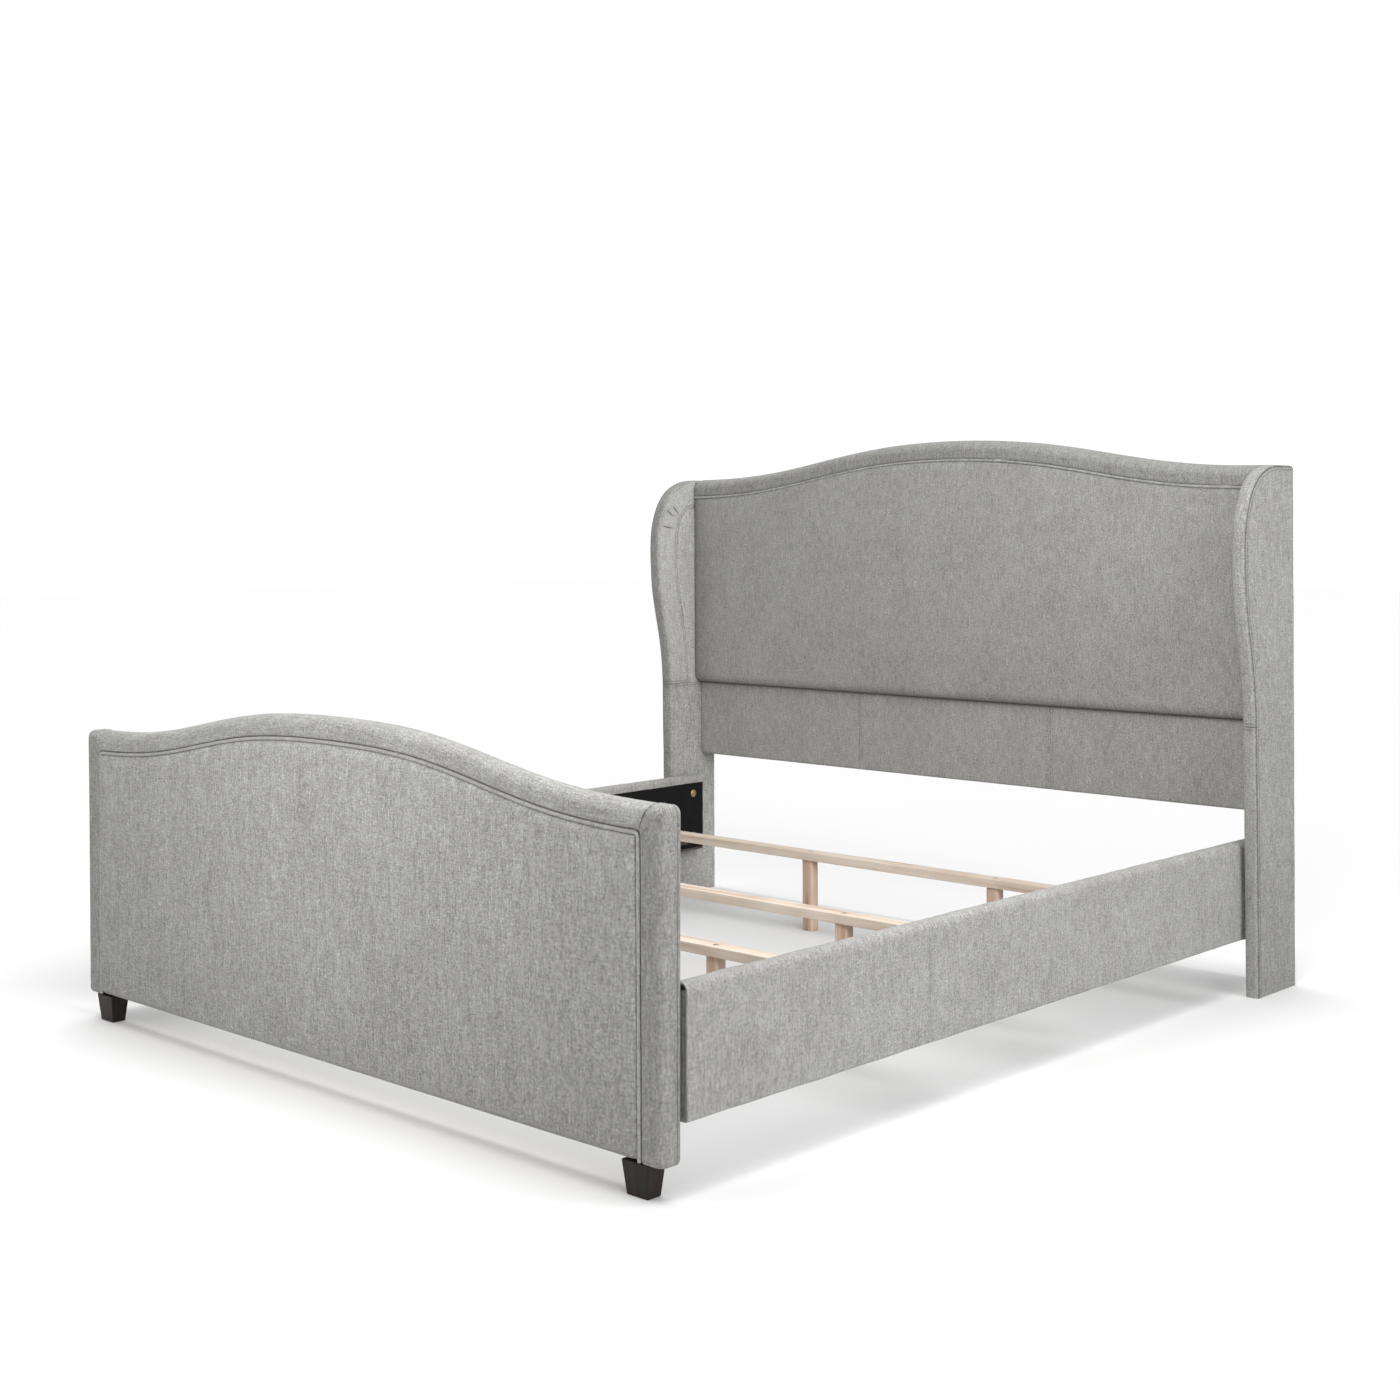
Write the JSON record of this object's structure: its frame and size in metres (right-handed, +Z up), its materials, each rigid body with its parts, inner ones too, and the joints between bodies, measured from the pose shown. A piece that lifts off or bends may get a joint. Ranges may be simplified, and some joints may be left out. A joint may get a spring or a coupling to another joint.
{
  "type": "upholstered wing bed",
  "caption": "King-size upholstered bed with a camel-back wing headboard, matching footboard on tapered feet, side rails and legged cross slats.",
  "frame": {"origin": "on the floor, midway between the wings' outer faces and midway between the footboard pad and the headboard's back", "axes": "+X to the right seen from the foot of the bed, +Y from the footboard to the headboard, +Z up"},
  "size_m": [2.098, 2.24, 1.43],
  "materials": {
    "fabric": "soft grey chenille-look weave with a mottled nap",
    "welt_fabric": "the same grey weave wrapped round a cord",
    "liner": "matt black non-woven lining",
    "frame_wood": "raw sawn timber, hidden under the covers",
    "pine": "planed pale pine, unfinished",
    "dark_wood": "espresso stain, satin",
    "zinc_steel": "bright zinc plate",
    "brass": "dull yellow zinc or antique brass plate"
  },
  "bodies": {
    "root": {"corner_bolt_left_foot": "brass", "corner_bolt_left_rail": "brass", "corner_bolt_right_foot": "brass", "corner_bolt_right_rail": "brass", "corner_bracket_left": "zinc_steel", "corner_bracket_right": "zinc_steel", "foot_bolt_left": "zinc_steel", "foot_bolt_right": "zinc_steel", "foot_left": "dark_wood", "foot_right": "dark_wood", "footboard_back_cover": "fabric", "footboard_border": "fabric", "footboard_frame": "frame_wood", "footboard_front_pad": "fabric", "footboard_welt": "welt_fabric", "headboard_back_cover": "fabric", "headboard_bolt_left_lower": "zinc_steel", "headboard_bolt_left_upper": "zinc_steel", "headboard_bolt_right_lower": "zinc_steel", "headboard_bolt_right_upper": "zinc_steel", "headboard_border": "fabric", "headboard_frame": "frame_wood", "headboard_lower_panel": "fabric", "headboard_upper_pad": "fabric", "headboard_welt": "welt_fabric", "rail_board_left": "frame_wood", "rail_board_right": "frame_wood", "rail_bolt_left_lower": "brass", "rail_bolt_left_upper": "brass", "rail_bolt_right_lower": "brass", "rail_bolt_right_upper": "brass", "rail_cover_left": "fabric", "rail_cover_right": "fabric", "rail_ledger_left": "pine", "rail_ledger_right": "pine", "rail_liner_left": "liner", "rail_liner_right": "liner", "slat_foot": "pine", "slat_head": "pine", "slat_leg_foot_left": "pine", "slat_leg_foot_right": "pine", "slat_leg_head_left": "pine", "slat_leg_head_right": "pine", "slat_leg_middle_left": "pine", "slat_leg_middle_right": "pine", "slat_leg_screw_foot_left": "zinc_steel", "slat_leg_screw_foot_right": "zinc_steel", "slat_leg_screw_head_left": "zinc_steel", "slat_leg_screw_head_right": "zinc_steel", "slat_leg_screw_middle_left": "zinc_steel", "slat_leg_screw_middle_right": "zinc_steel", "slat_middle": "pine", "wing_band_left": "fabric", "wing_band_right": "fabric", "wing_frame_left": "frame_wood", "wing_frame_right": "frame_wood", "wing_inner_panel_left": "fabric", "wing_inner_panel_right": "fabric", "wing_outer_panel_left": "fabric", "wing_outer_panel_right": "fabric"}
  },
  "joints": []
}
